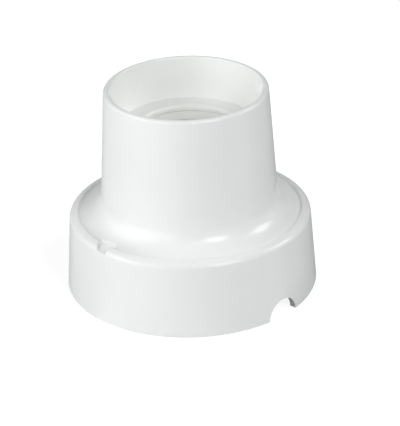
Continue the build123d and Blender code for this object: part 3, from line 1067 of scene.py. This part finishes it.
def show_white(tree, plain, white, output):
    """Shows white to the camera, gloss and glass, and the plain shader to all other rays."""
    path = tree.nodes.new("ShaderNodeLightPath")
    seen = path.outputs["Is Camera Ray"]
    for name in ("Is Glossy Ray", "Is Transmission Ray"):
        either = tree.nodes.new("ShaderNodeMath")
        either.operation = "MAXIMUM"
        tree.links.new(seen, either.inputs[0])
        tree.links.new(path.outputs[name], either.inputs[1])
        seen = either.outputs["Value"]
    mix = tree.nodes.new("ShaderNodeMixShader")
    tree.links.new(seen, mix.inputs["Fac"])
    tree.links.new(plain, mix.inputs[1])
    tree.links.new(white, mix.inputs[2])
    tree.links.new(mix.outputs["Shader"], output.inputs["Surface"])


def studio_place(g, across, up, distance):
    """Point seen from the target at these angles from the camera's own direction."""
    turn = g.azimuth + across
    level = cos(up) * distance
    return Vector((sin(turn) * level, -cos(turn) * level, g.target + sin(up) * distance))


def soft_light(g, name, across, up, size, watts):
    """Square soft light aimed at the holder."""
    light = bpy.data.lights.new(name, "AREA")
    light.shape = "SQUARE"
    light.size = size
    light.energy = watts
    light.color = g.light_colour
    lamp = bpy.data.objects.new(name, light)
    bpy.context.collection.objects.link(lamp)
    lamp.location = studio_place(g, radians(across), radians(up), LIGHT_DISTANCE)
    aim = Vector((0, 0, g.target)) - lamp.location
    lamp.rotation_euler = aim.to_track_quat("-Z", "Y").to_euler()


def lay_floor(g):
    """Pale floor that shows white and keeps the holder's shadow."""
    work = bmesh.new()
    bmesh.ops.create_grid(work, x_segments=1, y_segments=1, size=FLOOR_HALF)
    bmesh.ops.translate(work, verts=work.verts, vec=(0, 0, -FLOOR_DROP))
    floor = new_piece("studio_floor", work)
    pale, tree, shader, coordinates = start_finish("pale_floor")
    mottle = noise_on(tree, coordinates, scale=14, detail=3)
    dusk = [channel * FLOOR_MOTTLE for channel in g.floor_colour]
    tone = tone_between(tree, mottle, dusk, g.floor_colour)
    tree.links.new(tone, shader.inputs["Base Color"])
    shader.inputs["Roughness"].default_value = FLOOR_ROUGHNESS
    shader.inputs["Specular IOR Level"].default_value = FLOOR_SPECULAR
    lit = put_node(tree, "ShaderNodeBsdfDiffuse", Color=FLOOR_SHADE)
    glow = put_node(tree, "ShaderNodeEmission", Strength=FLOOR_GLOW)
    both = tree.nodes.new("ShaderNodeAddShader")
    tree.links.new(lit.outputs["BSDF"], both.inputs[0])
    tree.links.new(glow.outputs["Emission"], both.inputs[1])
    output = tree.nodes["Material Output"]
    show_white(tree, shader.outputs["BSDF"], both.outputs["Shader"], output)
    floor.data.materials.append(pale)


def stand_card(g):
    """Grey card behind the holder, hidden from the camera, for the gloss to show; its colour fades
    from painted light on the left to painted shade on the right.
    """
    work = bmesh.new()
    bends = (
        (g.card_start, -CARD_DROP), (g.card_depth, -CARD_DROP), (g.card_depth, g.card_height)
    )
    left, right = [
        [work.verts.new((side, depth, height)) for depth, height in bends]
        for side in (-g.card_height, g.card_height)
    ]
    for step in range(2):
        work.faces.new((left[step], right[step], right[step + 1], left[step + 1]))
    card = new_piece("grey_card_with_painted_falloff", work)
    card.rotation_euler.z = g.azimuth
    grey, tree, shader, coordinates = start_finish("grey_card_with_painted_falloff")
    # Painted light and shade: the card's colour fades across it from the lit left tone to the
    # shaded right tone, standing in for the key light's falloff and shadow
    place = tree.nodes.new("ShaderNodeSeparateXYZ")
    tree.links.new(coordinates, place.inputs["Vector"])
    across = put_node(tree, "ShaderNodeMath", operation="MULTIPLY_ADD")
    across.inputs[1].default_value = CARD_SLOPE
    across.inputs[2].default_value = CARD_MIDDLE
    tree.links.new(place.outputs["X"], across.inputs[0])
    fade = tone_between(tree, across.outputs["Value"], g.painted_lit_card_side, g.painted_shaded_card_side)
    tree.links.new(fade, shader.inputs["Base Color"])
    shader.inputs["Roughness"].default_value = CARD_ROUGHNESS
    card.data.materials.append(grey)
    dark, _, shader, _ = start_finish("dark_card")
    shader.inputs["Base Color"].default_value = (*g.card_back, 1)
    shader.inputs["Roughness"].default_value = CARD_ROUGHNESS
    card.data.materials.append(dark)
    for face in card.data.polygons:
        face.material_index = int(abs(face.normal.z) < 0.5)
    card.visible_camera = False
    card.visible_shadow = False


def light_sky(scene, g):
    """World that shows white and lights the holder evenly, as strongly as asked."""
    world = bpy.data.worlds.new("studio_sky")
    world.use_nodes = True
    scene.world = world
    tree = world.node_tree
    even = tree.nodes["Background"]
    even.inputs["Color"].default_value = (1, 1, 1, 1)
    even.inputs["Strength"].default_value = g.sky
    white = put_node(tree, "ShaderNodeBackground", Color=(1, 1, 1, 1), Strength=1.0)
    show_white(
        tree, even.outputs["Background"], white.outputs["Background"], tree.nodes["World Output"]
    )


def place_camera(scene, g):
    """Camera at the photo's angle, with the target at its pixel."""
    back = Vector((0, -cos(g.elevation), sin(g.elevation)))
    up = Vector((0, sin(g.elevation), cos(g.elevation)))
    across = Vector((1, 0, 0))
    right = cos(g.roll) * across + sin(g.roll) * up
    upright = -sin(g.roll) * across + cos(g.roll) * up
    matrix = Matrix((right, upright, back)).transposed().to_4x4()
    matrix.translation = Vector((0, 0, g.target)) + back * g.distance
    lens = bpy.data.cameras.new("photo_camera")
    lens.sensor_fit = "VERTICAL"
    lens.sensor_height = SENSOR
    lens.lens = g.lens
    lens.shift_x = (PHOTO_WIDTH / 2 - g.aim_x) / PHOTO_HEIGHT
    lens.shift_y = -(PHOTO_HEIGHT / 2 - g.aim_y) / PHOTO_HEIGHT
    lens.clip_start = NEAR_CLIP
    lens.clip_end = FAR_CLIP
    camera = bpy.data.objects.new("photo_camera", lens)
    bpy.context.collection.objects.link(camera)
    camera.matrix_world = Matrix.Rotation(g.azimuth, 4, "Z") @ matrix
    scene.camera = camera


class HOLDER_OT_studio(Operator):
    """Set up the pale floor, the soft lights and the camera"""

    bl_idname = "holder.studio"
    bl_label = "Studio"

    def execute(self, context):
        scene = context.scene
        g = scene.holder_studio
        lay_floor(g)
        stand_card(g)
        light_sky(scene, g)
        for name, across, up, size, watts in (
            ("key_light", -50, 20, WIDE_LIGHT, g.key_power),
            ("left_light", -80, 28, WIDE_LIGHT, g.left_power),
            ("front_light", 33, 37, NARROW_LIGHT, g.front_power),
            ("side_light", 99, 33, NARROW_LIGHT, g.side_power),
        ):
            soft_light(g, name, across, up, size, watts)
        place_camera(scene, g)
        scene.view_settings.view_transform = "Standard"
        return {"FINISHED"}


class HOLDER_PT_pieces(Panel):
    """Lists the steps that build the lamp holder"""

    bl_label = "Lamp Holder"
    bl_idname = "HOLDER_PT_pieces"
    bl_space_type = "VIEW_3D"
    bl_region_type = "UI"
    bl_category = "Lamp Holder"

    def draw(self, context):
        column = self.layout.column(align=True)
        for step in STEPS:
            column.operator(step.bl_idname)


SETTINGS = {
    "holder_cover": CoverSettings,
    "holder_base": BaseSettings,
    "holder_sleeve": SleeveSettings,
    "holder_contacts": ContactSettings,
    "holder_finish": FinishSettings,
    "holder_studio": StudioSettings,
}
STEPS = (
    HOLDER_OT_cover,
    HOLDER_OT_base,
    HOLDER_OT_lamp_sleeve,
    HOLDER_OT_sleeve_screws,
    HOLDER_OT_contact_strips,
    HOLDER_OT_centre_leaf,
    HOLDER_OT_terminals,
    HOLDER_OT_studio,
)
CLASSES = (*SETTINGS.values(), *STEPS, HOLDER_PT_pieces)


def register():
    """Adds the classes and the scene's settings."""
    for item in CLASSES:
        bpy.utils.register_class(item)
    for name, group in SETTINGS.items():
        setattr(bpy.types.Scene, name, PointerProperty(type=group))


def unregister():
    """Takes the settings and classes away again."""
    for name in SETTINGS:
        delattr(bpy.types.Scene, name)
    for item in reversed(CLASSES):
        bpy.utils.unregister_class(item)


def main():
    """Builds every piece and the studio."""
    register()
    bpy.ops.holder.cover()
    bpy.ops.holder.base()
    bpy.ops.holder.lamp_sleeve()
    bpy.ops.holder.sleeve_screws()
    bpy.ops.holder.contact_strips()
    bpy.ops.holder.centre_leaf()
    bpy.ops.holder.terminals()
    bpy.ops.holder.studio()


if __name__ == "__main__":
    main()
